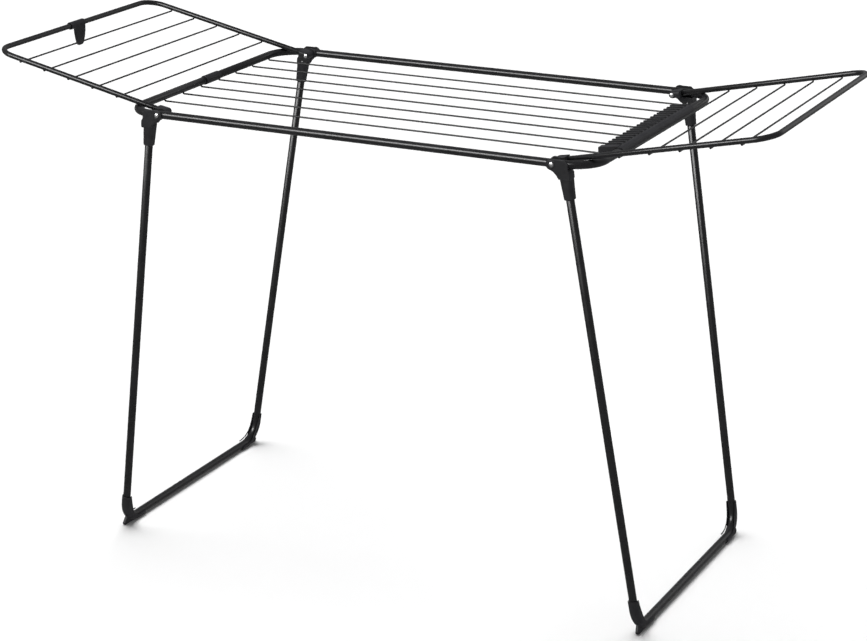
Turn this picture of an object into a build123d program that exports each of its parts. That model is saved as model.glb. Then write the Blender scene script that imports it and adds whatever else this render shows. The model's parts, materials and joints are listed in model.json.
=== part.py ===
from build123d import *
import math
import os

# Folding clothes drying rack, opened out: a central frame of line wires,
# two pairs of folding legs and two wings that lean on the frame's ends.
# Millimetres. Origin on the floor under the middle, +X along the rails,
# +Z up. The right side has +X and the front side has -Y.

# ---- Driving dimensions ---------------------------------------------------
RAIL_HEIGHT = 938.8  # axis of the rails above the floor
RAIL_Y = 307.5  # rail axis from the middle plane
CROSS_X = 509.0  # cross tube axis from the middle plane
PIVOT_X = 431.0  # rivet axis from the middle plane
FRAME_TUBE = 16.0  # rails, cross tubes and legs, outside diameter
FRAME_WALL = 1.2
FRAME_BEND = 60.0  # corner radius of the central frame

WING_Y = 283.0  # wing side tube axis from the middle plane
WING_LENGTH = 421.0  # rivet axis to the wing's end tube axis
WING_RISE = 12.0  # degrees above level when the wing is open
WING_TUBE = 11.0
WING_WALL = 1.0
WING_BEND = 40.0

LEG_TOP_X = 452.4  # leg axis at rail height
LEG_TOP_Y = 305.2
LEG_FOOT_X = 598.1  # bottom bar axis
LEG_FOOT_Y = 267.0
LEG_BEND = 45.0
BAR_HEIGHT = 10.4  # bottom bar axis above the floor

WIRE_DIA = 3.5
LINE_COUNT = 7
LINE_PITCH = 69.0
LINE_BACK_Y = 245.0  # rearmost line; the front gap stays wide
LINE_DROP = 11.0  # line wire axis below the rail axis
WING_WIRE_COUNT = 5
WING_WIRE_PITCH = 60.0
WING_WIRE_START = 120.0  # first wing wire from the rivet axis
WING_WIRE_DROP = 7.4
WIRE_HOOK_BEND = 2.0
WIRE_TUCK = 3.4  # how far a wire's end stands inside its tube

SLIDE_GAP = 0.3  # between parts that turn past each other
FIT_GAP = 0.05  # radial clearance of pins and sleeves

RIVET_RADIUS = 3.0
RIVET_HEAD_RADIUS = 4.6
RIVET_HEAD_HEIGHT = 1.6
PLATE = 3.0  # side plates of the leg heads
BOSS_RADIUS = 11.3

SPLICE_Y = 8.0  # where the two half frames meet
SLEEVE_LENGTH = 55.0
SLEEVE_WALL = 1.6
SPIGOT_LENGTH = 90.0
SPIGOT_WALL = 1.5

os.makedirs("parts", exist_ok=True)

# ---- Derived places -------------------------------------------------------
LEG_DROP = RAIL_HEIGHT - BAR_HEIGHT
RAIL_OUTER = RAIL_Y + FRAME_TUBE / 2
RAIL_INNER = RAIL_Y - FRAME_TUBE / 2
OUTER_PLATE = RAIL_OUTER + SLIDE_GAP
INNER_PLATE = RAIL_INNER - SLIDE_GAP - PLATE
SLEEVE_OUT = INNER_PLATE - SLIDE_GAP
SLEEVE_IN = 2 * WING_Y - SLEEVE_OUT

leg_top = Vector(LEG_TOP_X, -LEG_TOP_Y, RAIL_HEIGHT)
leg_foot = Vector(LEG_FOOT_X, -LEG_FOOT_Y, BAR_HEIGHT)
leg_down = (leg_foot - leg_top).normalized()
splay = math.atan2(LEG_FOOT_X - LEG_TOP_X, LEG_DROP)

# The right legs lie in one leaning plane: local x is +Y, local y goes up
# the legs and local z points outward.
legs_plane = Plane(
    origin=(LEG_FOOT_X, 0, BAR_HEIGHT),
    x_dir=(0, 1, 0),
    z_dir=(math.cos(splay), 0, math.sin(splay)),
)
# The right wing's plane: local x runs out along the wing, local y is +Y.
rise = math.radians(WING_RISE)
wing_plane = Plane(
    origin=(PIVOT_X, 0, RAIL_HEIGHT),
    x_dir=(math.cos(rise), 0, math.sin(rise)),
    z_dir=(-math.sin(rise), 0, math.cos(rise)),
)
pivot_axis = Axis((PIVOT_X, 0, RAIL_HEIGHT), (0, 1, 0))
MIRRORS = {
    "right_front": [],
    "right_back": [Plane.XZ],
    "left_front": [Plane.YZ],
    "left_back": [Plane.YZ, Plane.XZ],
}


# ---- Helpers --------------------------------------------------------------
def save(shape, name):
    """Label one finished piece and write it."""
    shape.label = name
    export_step(shape, f"parts/{name}.step")


def mirrored(shape, planes):
    """The same piece on another corner of the rack."""
    with BuildPart() as piece:
        add(shape)
        for plane in planes:
            mirror(about=plane, mode=Mode.REPLACE)
    return piece.part


def bent_rod(points, bend, diameter, wall=0.0):
    """A round rod, or a tube if it has a wall, bent through the points."""
    with BuildPart() as rod:
        with BuildLine() as path:
            FilletPolyline(*points, radius=bend)
        start = Plane(origin=path.line @ 0, z_dir=path.line % 0)
        with BuildSketch(start):
            Circle(diameter / 2)
            if wall:
                Circle(diameter / 2 - wall, mode=Mode.SUBTRACT)
        sweep()
    return rod.part


def side_view(x, y, z):
    """A plane facing the front: local x is +X and local y is +Z."""
    return Plane(origin=(x, y, z), x_dir=(1, 0, 0), z_dir=(0, -1, 0))


def across(x, y, z):
    """A place whose local Z lies along the rack's Y."""
    return Location((x, y, z), (90, 0, 0))


# ---- Central frame: two half loops ---------------------------------------
line_places = [LINE_BACK_Y - LINE_PITCH * k for k in range(LINE_COUNT)]
wire_hole = WIRE_DIA / 2 + FIT_GAP
hole_floor = RAIL_HEIGHT - FRAME_TUBE / 2


def half_loop(side):
    """One long rail with its share of both cross tubes; side is -1 in front."""
    rail_y = side * RAIL_Y
    tube = bent_rod(
        [
            (-CROSS_X, SPLICE_Y, RAIL_HEIGHT),
            (-CROSS_X, rail_y, RAIL_HEIGHT),
            (CROSS_X, rail_y, RAIL_HEIGHT),
            (CROSS_X, SPLICE_Y, RAIL_HEIGHT),
        ],
        FRAME_BEND,
        FRAME_TUBE,
        FRAME_WALL,
    )
    wires = [y for y in line_places if side * (y - SPLICE_Y) > 0]
    with BuildPart() as loop:
        add(tube)
        with Locations(
            [(x, y, hole_floor) for x in (-CROSS_X, CROSS_X) for y in wires]
        ):
            Cylinder(wire_hole, 2 * FRAME_WALL + 1, mode=Mode.SUBTRACT)
        with Locations([across(x, rail_y, RAIL_HEIGHT) for x in (-PIVOT_X, PIVOT_X)]):
            Cylinder(RIVET_RADIUS + FIT_GAP, FRAME_TUBE + 2, mode=Mode.SUBTRACT)
    return loop.part


save(half_loop(-1), "front_half_loop")
save(half_loop(1), "back_half_loop")

# Line wires hang just under the cross tubes and hook up into them.
line_z = RAIL_HEIGHT - LINE_DROP
line_tip_z = hole_floor + FRAME_WALL + WIRE_TUCK
for number, y in enumerate(reversed(line_places), start=1):
    wire = bent_rod(
        [
            (-CROSS_X, y, line_tip_z),
            (-CROSS_X, y, line_z),
            (CROSS_X, y, line_z),
            (CROSS_X, y, line_tip_z),
        ],
        WIRE_HOOK_BEND,
        WIRE_DIA,
    )
    save(wire, f"line_wire_{number}")


# ---- Joints of the two half loops ----------------------------------------
SPIGOT_HOLE = WIRE_DIA / 2 + 1.0  # clears a wire's tip inside the tube
spigot_radius = FRAME_TUBE / 2 - FRAME_WALL - FIT_GAP


def spigot(x):
    """The inner tube that joins two half loops inside a cross tube."""
    near = [y for y in line_places if abs(y - SPLICE_Y) < SPIGOT_LENGTH / 2 + WIRE_DIA]
    with BuildPart() as inner:
        with BuildSketch(side_view(x, SPLICE_Y, RAIL_HEIGHT)):
            Circle(spigot_radius)
            Circle(spigot_radius - SPIGOT_WALL, mode=Mode.SUBTRACT)
        extrude(amount=SPIGOT_LENGTH / 2, both=True)
        with Locations([(x, y, RAIL_HEIGHT - spigot_radius) for y in near]):
            Cylinder(SPIGOT_HOLE, 2 * SPIGOT_WALL + 2, mode=Mode.SUBTRACT)
    return inner.part


save(spigot(-CROSS_X), "left_splice_spigot")
save(spigot(CROSS_X), "right_splice_spigot")

with BuildPart() as splice_sleeve:
    with BuildSketch(side_view(-CROSS_X, SPLICE_Y, RAIL_HEIGHT)):
        Circle(FRAME_TUBE / 2 + SLEEVE_WALL)
        Circle(FRAME_TUBE / 2 + FIT_GAP, mode=Mode.SUBTRACT)
    extrude(amount=SLEEVE_LENGTH / 2, both=True)
    sleeve_ends = splice_sleeve.faces().filter_by(Axis.Y)
    rims = sleeve_ends.edges().filter_by(
        lambda e: e.radius > FRAME_TUBE / 2 + SLEEVE_WALL / 2
    )
    fillet(rims, radius=0.8)
    # Two line wires hook in beside the sleeve's ends, so it is cut back there.
    with Locations(
        [
            (-CROSS_X, y, hole_floor - SLEEVE_WALL)
            for y in line_places
            if abs(y - SPLICE_Y) < SLEEVE_LENGTH / 2 + WIRE_DIA
        ]
    ):
        Box(3 * WIRE_DIA, 2 * WIRE_DIA, 3 * SLEEVE_WALL, mode=Mode.SUBTRACT)
save(splice_sleeve.part, "left_splice_sleeve")

# ---- Hanger comb on the right cross tube ----------------------------------
COMB_FRONT_Y = -186.0
COMB_BACK_Y = 174.0
COMB_WALL = 1.5
COMB_MOUTH = 120.0  # degrees left open under the tube
TOOTH_COUNT = 21
TOOTH_THICKNESS = 4.0
TOOTH_REACH = 42.0  # from the tube axis inward to the tips
TOOTH_ROOT_TOP = 10.2  # above the tube axis
TOOTH_TIP_TOP = 5.6
TOOTH_BOTTOM = -5.0
TOOTH_TIP_BOTTOM = 2.8
TOOTH_TIP_ROUND = 1.2
END_BLOCK = 17.0  # the solid block that closes the comb's front end
comb_length = COMB_BACK_Y - COMB_FRONT_Y
comb_radius = FRAME_TUBE / 2 + COMB_WALL
first_tooth = COMB_FRONT_Y + END_BLOCK - TOOTH_THICKNESS / 2
tooth_pitch = (COMB_BACK_Y - TOOTH_THICKNESS / 2 - first_tooth) / (TOOTH_COUNT - 1)
mouth_half = 1.2 * comb_radius * math.tan(math.radians(COMB_MOUTH / 2))
tooth_outline = [
    (-4.0, TOOTH_BOTTOM),
    (-TOOTH_REACH / 2, TOOTH_BOTTOM + 3.0),
    (-TOOTH_REACH, TOOTH_TIP_BOTTOM),
    (-TOOTH_REACH, TOOTH_TIP_TOP),
    (-FRAME_TUBE / 2 - COMB_WALL, TOOTH_ROOT_TOP),
    (-3.0, TOOTH_ROOT_TOP),
]
block_outline = [
    (-4.0, TOOTH_BOTTOM),
    (-TOOTH_REACH, TOOTH_BOTTOM),
    *tooth_outline[3:],
]


def comb_tooth(points, y, thickness):
    """One tooth of the comb, a plate centred on the given y."""
    with BuildPart() as plate:
        with BuildSketch(side_view(CROSS_X, y, RAIL_HEIGHT)) as outline:
            with BuildLine():
                Polyline(*points, close=True)
            make_face()
            tips = outline.vertices().sort_by(Axis.X)[0:2]
            fillet(tips, radius=TOOTH_TIP_ROUND)
            Circle(FRAME_TUBE / 2 + COMB_WALL / 2, mode=Mode.SUBTRACT)
        extrude(amount=thickness / 2, both=True)
    return plate.part


with BuildPart() as hanger_comb:
    comb_middle = (COMB_FRONT_Y + COMB_BACK_Y) / 2
    with BuildSketch(side_view(CROSS_X, comb_middle, RAIL_HEIGHT)):
        Circle(comb_radius)
        Circle(FRAME_TUBE / 2 + FIT_GAP, mode=Mode.SUBTRACT)
        with BuildLine():
            Polyline(
                (0, 0),
                (-mouth_half, -1.2 * comb_radius),
                (mouth_half, -1.2 * comb_radius),
                close=True,
            )
        make_face(mode=Mode.SUBTRACT)
    extrude(amount=comb_length / 2, both=True)
    add(comb_tooth(block_outline, COMB_FRONT_Y + END_BLOCK / 2, END_BLOCK))
    for k in range(1, TOOTH_COUNT):
        add(comb_tooth(tooth_outline, first_tooth + tooth_pitch * k, TOOTH_THICKNESS))
save(hanger_comb.part, "hanger_comb")

# ---- Pivot rivets ---------------------------------------------------------
rivet_plane = Plane(
    origin=(PIVOT_X, 0, RAIL_HEIGHT), x_dir=(0, 1, 0), z_dir=(0, 0, 1)
)
rivet_out = -(OUTER_PLATE + PLATE + FIT_GAP)
rivet_in = -(SLEEVE_IN - FIT_GAP)
rivet_dome = (RIVET_HEAD_RADIUS**2 + RIVET_HEAD_HEIGHT**2) / (2 * RIVET_HEAD_HEIGHT)
with BuildPart() as rivet:
    with BuildSketch(rivet_plane):
        with BuildLine():
            RadiusArc(
                (rivet_out - RIVET_HEAD_HEIGHT, 0),
                (rivet_out, RIVET_HEAD_RADIUS),
                rivet_dome,
            )
            Polyline(
                (rivet_out, RIVET_HEAD_RADIUS),
                (rivet_out, RIVET_RADIUS),
                (rivet_in, RIVET_RADIUS),
                (rivet_in, RIVET_HEAD_RADIUS),
            )
            RadiusArc(
                (rivet_in, RIVET_HEAD_RADIUS),
                (rivet_in + RIVET_HEAD_HEIGHT, 0),
                rivet_dome,
            )
            Line(
                (rivet_in + RIVET_HEAD_HEIGHT, 0),
                (rivet_out - RIVET_HEAD_HEIGHT, 0),
            )
        make_face()
    revolve(axis=pivot_axis)

# ---- Leg heads ------------------------------------------------------------
# A fork of two plates stands astride the rail. They join only below and
# outboard of it, so that the legs can fold in under the rail.
BRIDGE_TOP = -(FRAME_TUBE / 2 + SLIDE_GAP + 0.2)
HEAD_TOP = 10.6
HEAD_OUTBOARD = 33.5
SOCKET_START = 22.0  # along the leg from rail height
SOCKET_END = 67.0
SOCKET_WIDE = 25.0
SOCKET_NARROW = 21.2
LEG_START = 18.0  # the leg tube's end, from rail height
BRIDGE_INNER = 8.8  # bridge wall from the line through the rivet
RING_OUTER = 7.4  # raised ring round the rivet's head
RING_INNER = 5.2
RING_HEIGHT = 1.1
leg_in = Vector(math.sin(splay), 0, -math.cos(splay))


def inner_wall(depth):
    """How far outboard the bridge's inner wall is at a depth below the rivet."""
    return (BRIDGE_INNER + depth * math.sin(splay)) / math.cos(splay)


def leg_section(distance):
    """A plane across the right front leg, at a distance from rail height."""
    return Plane(origin=leg_top + leg_down * distance, x_dir=(1, 0, 0), z_dir=leg_down)


bridge_depth = 28.0
bridge_outline = [
    (inner_wall(-BRIDGE_TOP), BRIDGE_TOP),
    (HEAD_OUTBOARD, BRIDGE_TOP),
    (HEAD_OUTBOARD + 3.6, -14.0),
    (HEAD_OUTBOARD + 4.6, -bridge_depth + 3),
    (HEAD_OUTBOARD + 3.2, -bridge_depth),
    (inner_wall(bridge_depth) + 1.5, -bridge_depth + 1.0),
]
plate_outline = [
    (0, HEAD_TOP),
    (HEAD_OUTBOARD - 9, HEAD_TOP),
    (HEAD_OUTBOARD, 3.0),
    (HEAD_OUTBOARD, BRIDGE_TOP),
    *bridge_outline[2:],
    (10.0, -20.0),
    (4.0, -14.0),
    (-4.0, -10.0),
]


# The inner plate stops short of the rail's bend, so only its boss stands
# beside the rail.
inner_outline = [
    *bridge_outline[:5],
    (10.0, -20.0),
    (4.0, -14.0),
    (-4.0, -10.0),
]


def head_side(outline_points, y_outer, y_inner):
    """One plate of the fork, between two distances from the middle plane."""
    with BuildPart() as side:
        with BuildSketch(side_view(PIVOT_X, -y_inner, RAIL_HEIGHT)) as outline:
            with BuildLine():
                Polyline(*outline_points, close=True)
            make_face()
            Circle(BOSS_RADIUS)
            high = outline.vertices().filter_by(
                lambda v: v.X > 15 and v.Y > 1
            )
            if high:
                fillet(high, radius=4.0)
        extrude(amount=y_outer - y_inner)
    return side.part


outer_plate = head_side(plate_outline, OUTER_PLATE + PLATE, OUTER_PLATE)
inner_plate = head_side(inner_outline, INNER_PLATE + PLATE, INNER_PLATE)
with BuildPart() as leg_head:
    add(outer_plate)
    rim = leg_head.faces().sort_by(Axis.Y)[0].edges()
    fillet(rim, radius=1.0)
    with BuildSketch(side_view(PIVOT_X, -OUTER_PLATE - PLATE, RAIL_HEIGHT)):
        Circle(RING_OUTER)
        Circle(RING_INNER, mode=Mode.SUBTRACT)
    extrude(amount=RING_HEIGHT)
    add(inner_plate)
    with BuildSketch(side_view(PIVOT_X, -INNER_PLATE, RAIL_HEIGHT)):
        with BuildLine():
            Polyline(*bridge_outline, close=True)
        make_face()
    extrude(amount=OUTER_PLATE + PLATE - 1.0 - INNER_PLATE)
    with BuildSketch(leg_section(SOCKET_START)):
        RectangleRounded(SOCKET_WIDE, SOCKET_WIDE - 2, 8)
    with BuildSketch(leg_section(SOCKET_END)):
        RectangleRounded(SOCKET_NARROW, SOCKET_NARROW, 9)
    loft()
    with BuildSketch(leg_section(LEG_START)):
        Circle(FRAME_TUBE / 2 + FIT_GAP)
    extrude(amount=SOCKET_END - LEG_START + 1, mode=Mode.SUBTRACT)
    with Locations(across(PIVOT_X, -RAIL_Y, RAIL_HEIGHT)):
        Cylinder(RIVET_RADIUS + FIT_GAP, 60, mode=Mode.SUBTRACT)

# ---- Legs: one bent tube with two legs and a bottom bar -------------------
leg_start = leg_top + leg_down * (LEG_START + 0.5)
left_end = Vector(leg_start.X, -leg_start.Y, leg_start.Z)
leg_tube = bent_rod(
    [
        leg_start,
        leg_foot,
        Vector(leg_foot.X, -leg_foot.Y, leg_foot.Z),
        left_end,
    ],
    LEG_BEND,
    FRAME_TUBE,
    FRAME_WALL,
)

# ---- Feet: half-round shells round the outside of the bend ----------------
# Places on a foot are given from the corner where the leg and bar axes meet:
# the first number is along the bar, the second is up the leg.
FOOT_WALL = 2.0
FOOT_ALONG_BAR = 64.0
FOOT_UP_LEG = 61.0
FIN_HALF = 2.8
FIN_FRONT = 6.5  # how far the fin's tip stands outside the corner
CHEEK_GAP = 0.35  # the cheeks stand a little clear of the tube
foot_inner = FRAME_TUBE / 2 + FIT_GAP
foot_outer = foot_inner + CHEEK_GAP + FOOT_WALL
floor_level = -BAR_HEIGHT / math.cos(splay)
up_leg = Vector(LEG_FOOT_Y - LEG_TOP_Y, LEG_DROP / math.cos(splay)).normalized()


def on_foot(along, up):
    """A point in the plane of the legs, measured from the front corner."""
    return legs_plane.from_local_coords((along - LEG_FOOT_Y, up, 0))


foot_path = [
    on_foot(FOOT_ALONG_BAR, 0),
    on_foot(0, 0),
    on_foot(up_leg.X * FOOT_UP_LEG, up_leg.Y * FOOT_UP_LEG),
]
bar_end = Plane(
    origin=on_foot(FOOT_ALONG_BAR, 0), x_dir=legs_plane.z_dir, z_dir=(0, -1, 0)
)
corner_plane = Plane(
    origin=on_foot(0, 0), x_dir=legs_plane.x_dir, z_dir=legs_plane.z_dir
)
# The cheeks' inner edges follow the inside of the bend. The tall one ends
# in a thin finger along the bar, with an open slot below it.
tall_arc = [(-1.8, LEG_BEND), (2.4, 26.0), (14.3, 10.5)]
tall_edge = [
    (1.6, FOOT_UP_LEG),
    (4.6, 45.0),
    (8.1, 30.5),
    (16.3, 18.1),
    (28.7, 9.9),
    (43.2, 7.0),
    (51.0, 7.0),
    (51.0, 4.6),
    (43.2, 4.6),
    (27.7, 7.7),
    (17.2, 14.0),
]
low_arc = [(-1.8, LEG_BEND), (12.6, 13.2), (LEG_BEND, 0)]
low_edge = [
    (1.6, FOOT_UP_LEG),
    (5.6, 45.0),
    (10.2, 32.0),
    (15.0, 20.0),
    (21.0, 10.5),
    (29.0, 4.5),
    (38.0, 2.4),
    (FOOT_ALONG_BAR - 4.0, 2.4),
    (FOOT_ALONG_BAR, 0.0),
]
fin_arc = [
    (-FIN_FRONT + 0.6, floor_level + 6.0),
    (-FIN_FRONT + 1.7, floor_level + 1.8),
    (-FIN_FRONT + 6.0, floor_level),
]
fin_outline = [
    fin_arc[2],
    (0.0, floor_level - 3.0),
    (30.0, floor_level - 3.0),
    (FOOT_ALONG_BAR - 10.0, -foot_outer + 0.6),
    (30.0, -foot_inner - 0.6),
    (14.0, -2.0),
    (2.0, 9.0),
    fin_arc[0],
]


def cheek(arc, edge, side):
    """One flat cheek of a foot, outside the legs' plane if side is 1."""
    with BuildPart() as plate:
        with BuildSketch(corner_plane.offset(side * (foot_outer - FOOT_WALL))):
            with BuildLine():
                ThreePointArc(*arc)
                Line(arc[0], (-2.4, FOOT_UP_LEG))
                Polyline((-2.4, FOOT_UP_LEG), *edge, arc[2])
            make_face()
        extrude(amount=side * FOOT_WALL)
    return plate.part


def leg_foot_shell(tall_side):
    """A foot of the right front leg, its tall cheek on the given side."""
    with BuildPart() as foot:
        with BuildLine():
            FilletPolyline(*foot_path, radius=LEG_BEND)
        with BuildSketch(bar_end):
            Circle(foot_outer)
            with Locations((0, foot_outer)):
                Rectangle(3 * foot_outer, 2 * foot_outer, mode=Mode.SUBTRACT)
        sweep()
        add(cheek(tall_arc, tall_edge, tall_side))
        add(cheek(low_arc, low_edge, -tall_side))
        with BuildSketch(corner_plane):
            with BuildLine():
                ThreePointArc(*fin_arc)
                Polyline(*fin_outline)
            make_face()
        extrude(amount=FIN_HALF, both=True)
        add(bent_rod(foot_path, LEG_BEND, 2 * foot_inner), mode=Mode.SUBTRACT)
        # The sole is trimmed level with the floor.
        split(bisect_by=Plane.XY, keep=Keep.TOP)
    return foot.part


# The same moulding serves every corner, so its tall cheek always faces -X.
feet = {"right": leg_foot_shell(-1), "left": leg_foot_shell(1)}

# ---- Wings ----------------------------------------------------------------
WING_TUBE_START = 9.0  # inside the pivot sleeve
PIVOT_SLEEVE_LENGTH = 19.5
PIVOT_SLEEVE_HALF = 7.5
PIVOT_SLEEVE_END = 6.7  # half height where the tube comes out
PIVOT_SLEEVE_ROUND = 5.2


def on_wing(x, y, z=0.0):
    """A point given along the right wing, across it and above its plane."""
    return wing_plane.from_local_coords((x, y, z))


wing_wires = [WING_WIRE_START + WING_WIRE_PITCH * k for k in range(WING_WIRE_COUNT)]
wing_rod = bent_rod(
    [
        on_wing(WING_TUBE_START, -WING_Y),
        on_wing(WING_LENGTH, -WING_Y),
        on_wing(WING_LENGTH, WING_Y),
        on_wing(WING_TUBE_START, WING_Y),
    ],
    WING_BEND,
    WING_TUBE,
    WING_WALL,
)
with BuildPart() as wing_tube:
    add(wing_rod)
    with Locations(
        [
            wing_plane.location * Location((x, y, -WING_TUBE / 2))
            for x in wing_wires
            for y in (-WING_Y, WING_Y)
        ]
    ):
        Cylinder(wire_hole, 2 * WING_WALL + 1, mode=Mode.SUBTRACT)

wing_tip = -WING_TUBE / 2 + WING_WALL + WIRE_TUCK
wing_wire_rods = [
    bent_rod(
        [
            on_wing(x, -WING_Y, wing_tip),
            on_wing(x, -WING_Y, -WING_WIRE_DROP),
            on_wing(x, WING_Y, -WING_WIRE_DROP),
            on_wing(x, WING_Y, wing_tip),
        ],
        WIRE_HOOK_BEND,
        WIRE_DIA,
    )
    for x in wing_wires
]

sleeve_plane = Plane(
    origin=on_wing(0, -SLEEVE_IN),
    x_dir=wing_plane.x_dir,
    z_dir=(0, -1, 0),
)
with BuildPart() as pivot_sleeve:
    with BuildSketch(sleeve_plane):
        Circle(PIVOT_SLEEVE_HALF)
        with BuildLine():
            Polyline(
                (0, PIVOT_SLEEVE_HALF),
                (PIVOT_SLEEVE_LENGTH, PIVOT_SLEEVE_END),
                (PIVOT_SLEEVE_LENGTH, -PIVOT_SLEEVE_END),
                (0, -PIVOT_SLEEVE_HALF),
                close=True,
            )
        make_face()
    extrude(amount=SLEEVE_OUT - SLEEVE_IN)
    inner_rim = pivot_sleeve.faces().sort_by(Axis.Y)[-1].edges()
    fillet(inner_rim, radius=PIVOT_SLEEVE_ROUND)
    outer_rim = pivot_sleeve.faces().sort_by(Axis.Y)[0].edges()
    fillet(outer_rim, radius=1.0)
    tube_start = Plane(
        origin=on_wing(WING_TUBE_START - 0.5, -WING_Y), z_dir=wing_plane.x_dir
    )
    with BuildSketch(tube_start):
        Circle(WING_TUBE / 2 + FIT_GAP)
    extrude(amount=PIVOT_SLEEVE_LENGTH, mode=Mode.SUBTRACT)
    with Locations(across(PIVOT_X, -WING_Y, RAIL_HEIGHT)):
        Cylinder(RIVET_RADIUS + FIT_GAP, 60, mode=Mode.SUBTRACT)

# ---- Hanger hook on the left wing's end tube ------------------------------
HOOK_MIDDLE_Y = -1.0
HOOK_COLLAR = 48.0
HOOK_COLLAR_WALL = 2.6
HOOK_TAB_WIDTH = 46.0  # trimmed to the tongue's outline
HOOK_DROP = 45.0
HOOK_TAB_THICK = 2.8
HOOK_LIP_HEIGHT = 12.0
HOOK_LIP_WIDTH = 11.0
HOOK_LIP_SHIFT = 4.0  # toward the back, from the tongue's middle
HOOK_MOUTH = 70.0  # degrees left open on the outboard side
collar_radius = WING_TUBE / 2 + HOOK_COLLAR_WALL
# Built on the right wing's end and mirrored to the left: x outboard.
end_tube = on_wing(WING_LENGTH, 0)
hook_plane = Plane(
    origin=(end_tube.X, HOOK_MIDDLE_Y, end_tube.Z), x_dir=(1, 0, 0), z_dir=(0, -1, 0)
)
tab_plane = Plane(
    origin=(end_tube.X - collar_radius, HOOK_MIDDLE_Y, end_tube.Z),
    x_dir=(0, 1, 0),
    z_dir=(1, 0, 0),
)
tab_back = -collar_radius + HOOK_TAB_THICK
tongue_edge = [
    (-19.5, 2.0),
    (22.5, 2.0),
    (22.0, -16.0),
    (18.5, -30.0),
    (12.0, -HOOK_DROP),
    (-9.0, -HOOK_DROP),
    (-14.5, -30.0),
    (-17.5, -16.0),
]
with BuildPart() as hook_profile:
    with BuildSketch(hook_plane):
        Circle(collar_radius)
        Circle(WING_TUBE / 2 + FIT_GAP, mode=Mode.SUBTRACT)
        with BuildLine():
            mouth_y = 1.4 * collar_radius * math.tan(math.radians(HOOK_MOUTH / 2))
            Polyline(
                (0, 0),
                (1.4 * collar_radius, -mouth_y - 4),
                (1.4 * collar_radius, mouth_y - 4),
                close=True,
            )
        make_face(mode=Mode.SUBTRACT)
    extrude(amount=HOOK_COLLAR / 2, both=True)
with BuildPart() as hook_tab:
    with BuildSketch(hook_plane):
        with Locations((-collar_radius + HOOK_TAB_THICK / 2, -HOOK_DROP / 2)):
            Rectangle(HOOK_TAB_THICK, HOOK_DROP + 2.0)
    extrude(amount=HOOK_TAB_WIDTH / 2, both=True)
    with BuildSketch(tab_plane) as tab_outline:
        with BuildLine():
            Polyline(*tongue_edge, close=True)
        make_face()
        low = tab_outline.vertices().group_by(Axis.Y)[0]
        fillet(low, radius=9.0)
    extrude(amount=3 * collar_radius, mode=Mode.INTERSECT)
    # A narrow lip curls up behind the tongue to hold a hanger.
    lip_x = tab_back + 8.0
    with BuildSketch(hook_plane.offset(-HOOK_LIP_SHIFT)):
        with BuildLine():
            Line(
                (-collar_radius + 1.0, -HOOK_DROP + 7.0),
                (tab_back, -HOOK_DROP + 7.0),
            )
            RadiusArc(
                (tab_back, -HOOK_DROP + 7.0), (lip_x - 2.6, -HOOK_DROP + 7.0), -2.8
            )
            Polyline(
                (lip_x - 2.6, -HOOK_DROP + 7.0),
                (lip_x - 2.6, -HOOK_DROP + HOOK_LIP_HEIGHT),
                (lip_x, -HOOK_DROP + HOOK_LIP_HEIGHT),
                (lip_x, -HOOK_DROP + 6.0),
            )
            RadiusArc(
                (lip_x, -HOOK_DROP + 6.0), (-collar_radius + 1.0, -HOOK_DROP + 6.0), 5.4
            )
            Line(
                (-collar_radius + 1.0, -HOOK_DROP + 6.0),
                (-collar_radius + 1.0, -HOOK_DROP + 7.0),
            )
        make_face()
    extrude(amount=HOOK_LIP_WIDTH / 2, both=True)
with BuildPart() as hanger_hook:
    add(hook_profile.part)
    add(hook_tab.part)
    with BuildSketch(hook_plane):
        Circle(WING_TUBE / 2 + FIT_GAP)
    extrude(amount=HOOK_COLLAR, both=True, mode=Mode.SUBTRACT)
save(mirrored(hanger_hook.part, [Plane.YZ]), "hanger_hook")

# ---- Pieces that repeat on the four corners -------------------------------
for corner, planes in MIRRORS.items():
    save(mirrored(rivet.part, planes), f"{corner}_rivet")
    save(mirrored(leg_head.part, planes), f"{corner}_leg_head")
    save(mirrored(feet[corner.split("_")[0]], planes), f"{corner}_foot")
    save(mirrored(pivot_sleeve.part, planes), f"{corner}_wing_sleeve")

for side, planes in (("right", []), ("left", [Plane.YZ])):
    save(mirrored(leg_tube, planes), f"{side}_leg_tube")
    save(mirrored(wing_tube.part, planes), f"{side}_wing_tube")
    for number, rod in enumerate(wing_wire_rods, start=1):
        save(mirrored(rod, planes), f"{side}_wing_wire_{number}")
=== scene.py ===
import json
import math

import bpy
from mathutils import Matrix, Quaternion, Vector


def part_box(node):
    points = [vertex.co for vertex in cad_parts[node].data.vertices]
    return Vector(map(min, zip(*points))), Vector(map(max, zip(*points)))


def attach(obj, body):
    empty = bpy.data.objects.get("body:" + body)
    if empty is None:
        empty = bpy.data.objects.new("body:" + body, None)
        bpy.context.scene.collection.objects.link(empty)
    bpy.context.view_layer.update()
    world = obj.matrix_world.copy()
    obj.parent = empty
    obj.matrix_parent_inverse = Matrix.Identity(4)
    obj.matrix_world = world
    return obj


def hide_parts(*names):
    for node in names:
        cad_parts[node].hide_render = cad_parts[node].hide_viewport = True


# A black folding clothes rack with two pairs of legs and two wings. Metres.
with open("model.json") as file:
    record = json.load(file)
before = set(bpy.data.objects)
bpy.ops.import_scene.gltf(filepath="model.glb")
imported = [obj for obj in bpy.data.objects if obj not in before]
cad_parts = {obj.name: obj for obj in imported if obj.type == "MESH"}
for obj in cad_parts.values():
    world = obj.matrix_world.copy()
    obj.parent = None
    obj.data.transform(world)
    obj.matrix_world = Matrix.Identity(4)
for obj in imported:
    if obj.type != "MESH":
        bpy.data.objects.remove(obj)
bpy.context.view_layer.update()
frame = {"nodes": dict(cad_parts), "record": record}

FRAME_R = 0.008  # rails, cross tubes and legs
WING_R = 0.0055
WIRE_R = 0.00175
RING = 32  # points round a tube
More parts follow.
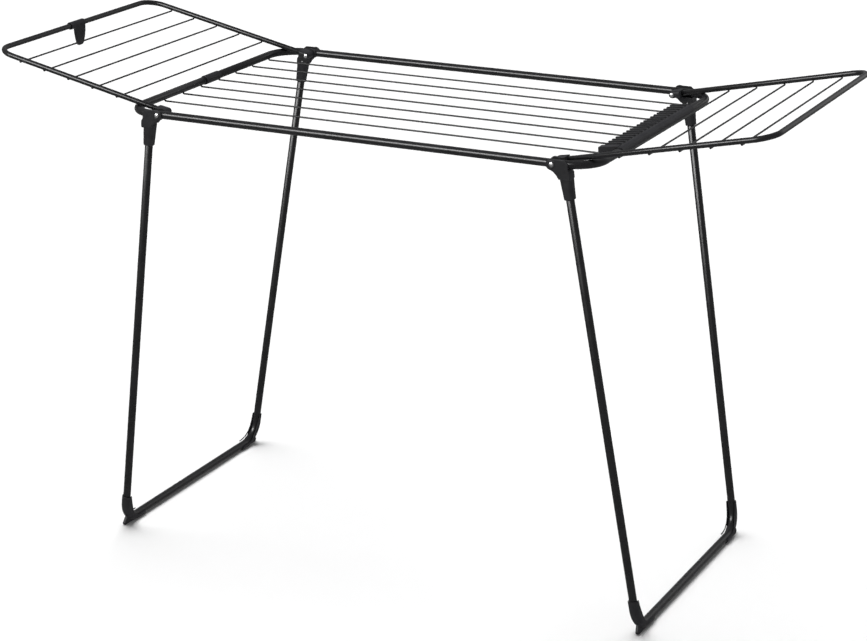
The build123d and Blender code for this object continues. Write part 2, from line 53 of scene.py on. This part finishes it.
BEND_STEPS = 14  # rings in each bend
END_ROUND = 0.0004  # eased edge at a tube's end
PEEL_DEPTH, FINE_DEPTH = 0.00006, 0.00002  # paint texture
GRIT_DEPTH = 0.00015  # plastic grain
BRUSH_DEPTH = 0.00005  # marks on zinc


# ---- Materials -------------------------------------------------------------
def shader(name):
    """A new node material: its tree, its main shader and an adder of nodes."""
    material = bpy.data.materials.new(name)
    material.use_nodes = True
    tree = material.node_tree
    principled = tree.nodes["Principled BSDF"]

    return material, tree, principled, tree.nodes.new


def noise(tree, add, place, scale, detail, rough):
    """A noise pattern in the object's own space."""
    node = add("ShaderNodeTexNoise")
    node.inputs["Scale"].default_value = scale
    node.inputs["Detail"].default_value = detail
    node.inputs["Roughness"].default_value = rough
    tree.links.new(place.outputs["Object"], node.inputs["Vector"])
    return node


def ramp(tree, add, source, stops):
    """The source mapped through colour stops of (position, (r, g, b))."""
    node = add("ShaderNodeValToRGB")
    elements = node.color_ramp.elements
    while len(elements) < len(stops):
        elements.new(0.5)
    for element, (position, colour) in zip(elements, stops):
        element.position = position
        element.color = (*colour, 1.0)
    tree.links.new(source, node.inputs["Fac"])
    return node


def span(tree, add, source, low, high):
    """The source, 0 to 1, as a number from low to high."""
    node = add("ShaderNodeMapRange")
    node.inputs["From Min"].default_value = 0.3
    node.inputs["From Max"].default_value = 0.7
    node.inputs["To Min"].default_value = low
    node.inputs["To Max"].default_value = high
    tree.links.new(source, node.inputs["Value"])
    return node


def bump(tree, add, source, distance, strength, after=None):
    """Raises the surface by the source."""
    node = add("ShaderNodeBump")
    node.inputs["Distance"].default_value = distance
    node.inputs["Strength"].default_value = strength
    tree.links.new(source, node.inputs["Height"])
    if after:
        tree.links.new(after.outputs["Normal"], node.inputs["Normal"])
    return node


def powder_coat(name, dark, light, rough_low, rough_high, grain):
    """Satin black powder paint: fine orange peel, faint tone changes."""
    material, tree, principled, add = shader(name)
    place = add("ShaderNodeTexCoord")
    tone = noise(tree, add, place, 34.0, 4.0, 0.6)
    peel = noise(tree, add, place, 900.0, 2.0, 0.5)
    fine = noise(tree, add, place, 2600.0, 2.0, 0.6)
    colour = ramp(tree, add, tone.outputs["Fac"], [(0.35, dark), (0.7, light)])
    tree.links.new(colour.outputs["Color"], principled.inputs["Base Color"])
    rough = span(tree, add, tone.outputs["Fac"], rough_low, rough_high)
    tree.links.new(rough.outputs["Result"], principled.inputs["Roughness"])
    coarse = bump(tree, add, peel.outputs["Fac"], PEEL_DEPTH, grain)
    close = bump(tree, add, fine.outputs["Fac"], FINE_DEPTH, grain, coarse)
    tree.links.new(close.outputs["Normal"], principled.inputs["Normal"])
    principled.inputs["Specular IOR Level"].default_value = 0.45
    return material


def moulded(name, dark, light, roughness, grain):
    """Matt black moulded plastic with a spark-eroded grain."""
    material, tree, principled, add = shader(name)
    place = add("ShaderNodeTexCoord")
    tone = noise(tree, add, place, 60.0, 3.0, 0.55)
    grit = noise(tree, add, place, 1500.0, 3.0, 0.65)
    colour = ramp(tree, add, tone.outputs["Fac"], [(0.3, dark), (0.75, light)])
    tree.links.new(colour.outputs["Color"], principled.inputs["Base Color"])
    rough = span(tree, add, grit.outputs["Fac"], roughness - 0.06, roughness + 0.08)
    tree.links.new(rough.outputs["Result"], principled.inputs["Roughness"])
    raised = bump(tree, add, grit.outputs["Fac"], GRIT_DEPTH, grain)
    tree.links.new(raised.outputs["Normal"], principled.inputs["Normal"])
    principled.inputs["Specular IOR Level"].default_value = 0.25
    return material


def plated(name):
    """Bright zinc plate, lightly brushed."""
    material, tree, principled, add = shader(name)
    place = add("ShaderNodeTexCoord")
    marks = noise(tree, add, place, 1400.0, 3.0, 0.6)
    colour = ramp(
        tree, add, marks.outputs["Fac"],
        [(0.3, (0.62, 0.62, 0.63)), (0.7, (0.86, 0.86, 0.85))],
    )
    tree.links.new(colour.outputs["Color"], principled.inputs["Base Color"])
    rough = span(tree, add, marks.outputs["Fac"], 0.2, 0.34)
    tree.links.new(rough.outputs["Result"], principled.inputs["Roughness"])
    raised = bump(tree, add, marks.outputs["Fac"], BRUSH_DEPTH, 0.3)
    tree.links.new(raised.outputs["Normal"], principled.inputs["Normal"])
    principled.inputs["Metallic"].default_value = 1.0
    return material


TUBE_PAINT = powder_coat(
    "tube_paint", (0.010, 0.010, 0.011), (0.016, 0.016, 0.018), 0.24, 0.32, 0.3
)
WIRE_PAINT = powder_coat(
    "wire_paint", (0.004, 0.004, 0.005), (0.008, 0.008, 0.009), 0.32, 0.44, 0.2
)
PLASTIC = moulded("plastic", (0.018, 0.018, 0.021), (0.028, 0.028, 0.032), 0.48, 0.5)
ZINC = plated("zinc_plate")


# ---- Round tube and wire ---------------------------------------------------
def rounded_path(points, bend):
    """The points with each corner turned into an arc of the bend radius."""
    path = [Vector(points[0])]
    for before, corner, after in zip(points, points[1:], points[2:]):
        before, corner, after = Vector(before), Vector(corner), Vector(after)
        way_in = (before - corner).normalized()
        way_out = (after - corner).normalized()
        half = way_in.angle(way_out) / 2
        inward = (way_in + way_out).normalized()
        centre = corner + inward * (bend / math.sin(half))
        first = corner + way_in * (bend / math.tan(half)) - centre
        last = corner + way_out * (bend / math.tan(half)) - centre
        turn = first.rotation_difference(last)
        axis, angle = turn.to_axis_angle()
        for step in range(BEND_STEPS + 1):
            part = first.copy()
            part.rotate(Quaternion(axis, angle * step / BEND_STEPS))
            path.append(centre + part)
    path.append(Vector(points[-1]))
    return path


def tube_mesh(name, path, radius):
    """A smooth round bar along the path, its end edges eased."""
    tangents = []
    for k, point in enumerate(path):
        before = path[max(k - 1, 0)]
        after = path[min(k + 1, len(path) - 1)]
        tangents.append((after - before).normalized())
    side = tangents[0].orthogonal().normalized()
    vertices, faces = [], []
    rings = [(path[0], tangents[0], radius - END_ROUND)]
    rings.append((path[0] + tangents[0] * END_ROUND, tangents[0], radius))
    rings += [(p, t, radius) for p, t in zip(path[1:-1], tangents[1:-1])]
    rings.append((path[-1] - tangents[-1] * END_ROUND, tangents[-1], radius))
    rings.append((path[-1], tangents[-1], radius - END_ROUND))
    for centre, along, size in rings:
        side = (side - along * side.dot(along)).normalized()
        other = along.cross(side)
        for k in range(RING):
            turn = 2 * math.pi * k / RING
            around = side * math.cos(turn) + other * math.sin(turn)
            vertices.append(centre + around * size)
    for ring in range(len(rings) - 1):
        for k in range(RING):
            a = ring * RING + k
            b = ring * RING + (k + 1) % RING
            faces.append((a, b, b + RING, a + RING))
    faces.append(tuple(reversed(range(RING))))
    faces.append(tuple(range((len(rings) - 1) * RING, len(rings) * RING)))
    mesh = bpy.data.meshes.new(name)
    mesh.from_pydata([tuple(v) for v in vertices], [], faces)
    mesh.polygons.foreach_set("use_smooth", [True] * len(mesh.polygons))
    mesh.polygons[-1].use_smooth = False
    mesh.polygons[-2].use_smooth = False
    return mesh


def put(name, mesh, body, material, *nodes):
    """Adds one piece of the object, on its body, in place of its CAD nodes."""
    piece = bpy.data.objects.new(name, mesh)
    bpy.context.scene.collection.objects.link(piece)
    piece.data.materials.clear()
    piece.data.materials.append(material)
    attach(piece, body)
    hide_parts(*nodes)
    return piece


def rod(node, body, points, bend, radius, material):
    """A bent tube or wire that stands for one CAD node."""
    mesh = tube_mesh(node, rounded_path(points, bend), radius)
    return put(f"{node}_look", mesh, body, material, node)


# ---- Places taken from the CAD boxes ---------------------------------------
loop_low, loop_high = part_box("front_half_loop")
rail_z = (loop_low.z + loop_high.z) / 2
rail_y = -loop_low.y - FRAME_R
cross_x = loop_high.x - FRAME_R
splice_y = loop_high.y
FRAME_BEND = 0.060
WIRE_BEND = 0.0020

for side, node in ((-1, "front_half_loop"), (1, "back_half_loop")):
    loop_points = [
        (-cross_x, splice_y, rail_z),
        (-cross_x, side * rail_y, rail_z),
        (cross_x, side * rail_y, rail_z),
        (cross_x, splice_y, rail_z),
    ]
    rod(node, "frame", loop_points, FRAME_BEND, FRAME_R, TUBE_PAINT)

for node in sorted(frame["nodes"]):
    if node.startswith("line_wire"):
        low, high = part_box(node)
        y, z = (low.y + high.y) / 2, low.z + WIRE_R
        points = [
            (low.x + WIRE_R, y, high.z),
            (low.x + WIRE_R, y, z),
            (high.x - WIRE_R, y, z),
            (high.x - WIRE_R, y, high.z),
        ]
        rod(node, "frame", points, WIRE_BEND, WIRE_R, WIRE_PAINT)

# The legs lean outward and draw together toward the floor.
LEG_BEND = 0.045
LEG_TOP_X, LEG_TOP_Y = 0.4524, 0.3052
LEG_FOOT_X, LEG_FOOT_Y, BAR_Z = 0.5981, 0.2670, 0.0104
LEG_START = 0.0185
for side, body in ((-1, "left_legs"), (1, "right_legs")):
    top = Vector((side * LEG_TOP_X, -LEG_TOP_Y, rail_z))
    foot = Vector((side * LEG_FOOT_X, -LEG_FOOT_Y, BAR_Z))
    start = top + (foot - top).normalized() * LEG_START
    back = Vector((1, -1, 1))
    points = [start, foot, foot * back, start * back]
    node = body.replace("legs", "leg_tube")
    rod(node, body, points, LEG_BEND, FRAME_R, TUBE_PAINT)

PIVOT_X = 0.431
WING_Y = 0.283
WING_LENGTH = 0.421
WING_BEND = 0.040
WING_RISE = math.radians(12.0)
WING_START = 0.009
WING_WIRE_DROP = 0.0074
WING_WIRE_START, WING_WIRE_PITCH = 0.120, 0.060
WING_WIRE_TOP = -0.0011


def on_wing(side, along, across, above=0.0):
    """A point on a wing: along it from its rivets, across it, above its plane."""
    out = along * math.cos(WING_RISE) - above * math.sin(WING_RISE)
    up = along * math.sin(WING_RISE) + above * math.cos(WING_RISE)
    return Vector((side * (PIVOT_X + out), across, rail_z + up))


for side, name in ((-1, "left"), (1, "right")):
    points = [
        on_wing(side, WING_START, -WING_Y),
        on_wing(side, WING_LENGTH, -WING_Y),
        on_wing(side, WING_LENGTH, WING_Y),
        on_wing(side, WING_START, WING_Y),
    ]
    rod(f"{name}_wing_tube", f"{name}_wing", points, WING_BEND, WING_R, TUBE_PAINT)
    for k in range(5):
        along = WING_WIRE_START + WING_WIRE_PITCH * k
        points = [
            on_wing(side, along, -WING_Y, WING_WIRE_TOP),
            on_wing(side, along, -WING_Y, -WING_WIRE_DROP),
            on_wing(side, along, WING_Y, -WING_WIRE_DROP),
            on_wing(side, along, WING_Y, WING_WIRE_TOP),
        ]
        node = f"{name}_wing_wire_{k + 1}"
        rod(node, f"{name}_wing", points, WIRE_BEND, WIRE_R, WIRE_PAINT)


# ---- Moulded pieces: the CAD shape with its edges rounded ------------------
VOXEL = 0.0005
SMOOTH_PASSES = 4
KEPT_FACES = 0.35  # share of the faces kept after smoothing
MOULDED = ("leg_head", "foot", "splice_sleeve", "comb", "hook")
# Pieces that keep their exact CAD shape.
AS_DRAWN = {"rivet": ZINC, "spigot": TUBE_PAINT, "wing_sleeve": PLASTIC}


def softened(node):
    """A copy of a CAD node's mesh, remeshed finely and smoothed."""
    source = frame["nodes"][node]
    copy = bpy.data.objects.new(f"{node}_work", source.data.copy())
    bpy.context.scene.collection.objects.link(copy)
    copy.matrix_world = source.matrix_world
    remesh = copy.modifiers.new("remesh", "REMESH")
    remesh.mode = "VOXEL"
    remesh.voxel_size = VOXEL
    smooth = copy.modifiers.new("smooth", "SMOOTH")
    smooth.factor = 0.5
    smooth.iterations = SMOOTH_PASSES
    thin = copy.modifiers.new("thin", "DECIMATE")
    thin.ratio = KEPT_FACES
    graph = bpy.context.evaluated_depsgraph_get()
    mesh = bpy.data.meshes.new_from_object(copy.evaluated_get(graph))
    bpy.data.objects.remove(copy)
    mesh.polygons.foreach_set("use_smooth", [True] * len(mesh.polygons))
    mesh.name = node
    return mesh


body_names = frame["record"]["behaviour"]["bodies"]
node_body = {node: body for body, nodes in body_names.items() for node in nodes}
for node in sorted(frame["nodes"]):
    body = node_body[node]
    if any(word in node for word in MOULDED):
        mesh = softened(node)
        put(f"{node}_look", mesh, body, PLASTIC, node)
    for word, finish in AS_DRAWN.items():
        if word in node:
            piece = frame["nodes"][node]
            piece.data.materials.clear()
            piece.data.materials.append(finish)

# ---- Floor, lights, camera -------------------------------------------------
world = bpy.data.worlds.new("studio")
bpy.context.scene.world = world
world.use_nodes = True
sky = world.node_tree
background = sky.nodes["Background"]
background.inputs["Color"].default_value = (1.0, 1.0, 1.0, 1.0)
background.inputs["Strength"].default_value = 1.0
# The bare studio is white to look at, but it lights and mirrors only dimly.
dim = sky.nodes.new("ShaderNodeBackground")
dim.inputs["Color"].default_value = (1.0, 1.0, 1.0, 1.0)
dim.inputs["Strength"].default_value = 0.25
rays = sky.nodes.new("ShaderNodeLightPath")
choice = sky.nodes.new("ShaderNodeMixShader")
sky.links.new(rays.outputs["Is Camera Ray"], choice.inputs["Fac"])
sky.links.new(dim.outputs["Background"], choice.inputs[1])
sky.links.new(background.outputs["Background"], choice.inputs[2])
sky.links.new(choice.outputs["Shader"], sky.nodes["World Output"].inputs["Surface"])

floor_mesh = bpy.data.meshes.new("floor")
FLOOR = 14.0
floor_mesh.from_pydata(
    [(-FLOOR, -FLOOR, 0), (FLOOR, -FLOOR, 0), (FLOOR, FLOOR, 0), (-FLOOR, FLOOR, 0)],
    [],
    [(0, 1, 2, 3)],
)
floor = bpy.data.objects.new("floor", floor_mesh)
bpy.context.scene.collection.objects.link(floor)
floor_material, floor_tree, floor_shader, floor_add = shader("floor")
floor_shader.inputs["Base Color"].default_value = (0.9, 0.9, 0.9, 1.0)
floor_shader.inputs["Roughness"].default_value = 0.9
floor_shader.inputs["Specular IOR Level"].default_value = 0.0
# The paint mirrors the floor only dimly, so that the rack stays black.
floor_dim = floor_add("ShaderNodeEmission")
floor_dim.inputs["Color"].default_value = (1.0, 1.0, 1.0, 1.0)
floor_dim.inputs["Strength"].default_value = 0.22
floor_rays = floor_add("ShaderNodeLightPath")
floor_choice = floor_add("ShaderNodeMixShader")
floor_link = floor_tree.links.new
floor_link(floor_rays.outputs["Is Glossy Ray"], floor_choice.inputs["Fac"])
floor_link(floor_shader.outputs["BSDF"], floor_choice.inputs[1])
floor_link(floor_dim.outputs["Emission"], floor_choice.inputs[2])
floor_out = floor_tree.nodes["Material Output"]
floor_link(floor_choice.outputs["Shader"], floor_out.inputs["Surface"])
floor.data.materials.append(floor_material)


def panel(name, place, tilt, size, power):
    """A soft light panel, level along X and tilted about it; 0 faces down."""
    data = bpy.data.lights.new(name, "AREA")
    data.shape = "RECTANGLE"
    data.size, data.size_y = size
    data.energy = power
    lamp = bpy.data.objects.new(name, data)
    bpy.context.scene.collection.objects.link(lamp)
    lamp.location = place
    lamp.rotation_euler = (math.radians(tilt), 0.0, 0.0)
    lamp.visible_camera = False
    lamp.visible_diffuse = False
    return lamp


panel("key", (-2.1, -3.5, 2.9), 62.0, (5.0, 1.5), 320.0)
panel("back", (2.6, 5.2, 2.3), -85.0, (3.2, 3.2), 15.0)
sun_data = bpy.data.lights.new("sun", "SUN")
sun_data.energy = 3.25
sun_data.angle = math.radians(45.0)
sun = bpy.data.objects.new("sun", sun_data)
bpy.context.scene.collection.objects.link(sun)
sun.rotation_euler = (math.radians(-14.0), math.radians(-18.0), 0.0)
sun.visible_glossy = False

YAW, PITCH, ROLL = 0.47942, -0.332783, -0.010872
camera_data = bpy.data.cameras.new("camera")
camera_data.lens = 98.81
camera_data.sensor_width = 36.0
camera_data.clip_end = 60.0
camera = bpy.data.objects.new("camera", camera_data)
bpy.context.scene.collection.objects.link(camera)
camera.location = (2.1787, -4.1531, 2.0939)
forward = Vector(
    (-math.sin(YAW) * math.cos(PITCH), math.cos(YAW) * math.cos(PITCH), math.sin(PITCH))
)
camera.rotation_mode = "QUATERNION"
level = forward.to_track_quat("-Z", "Y")
roll = Quaternion(forward, -ROLL)
camera.rotation_quaternion = roll @ level
bpy.context.scene.camera = camera
bpy.context.scene.view_settings.view_transform = "Standard"
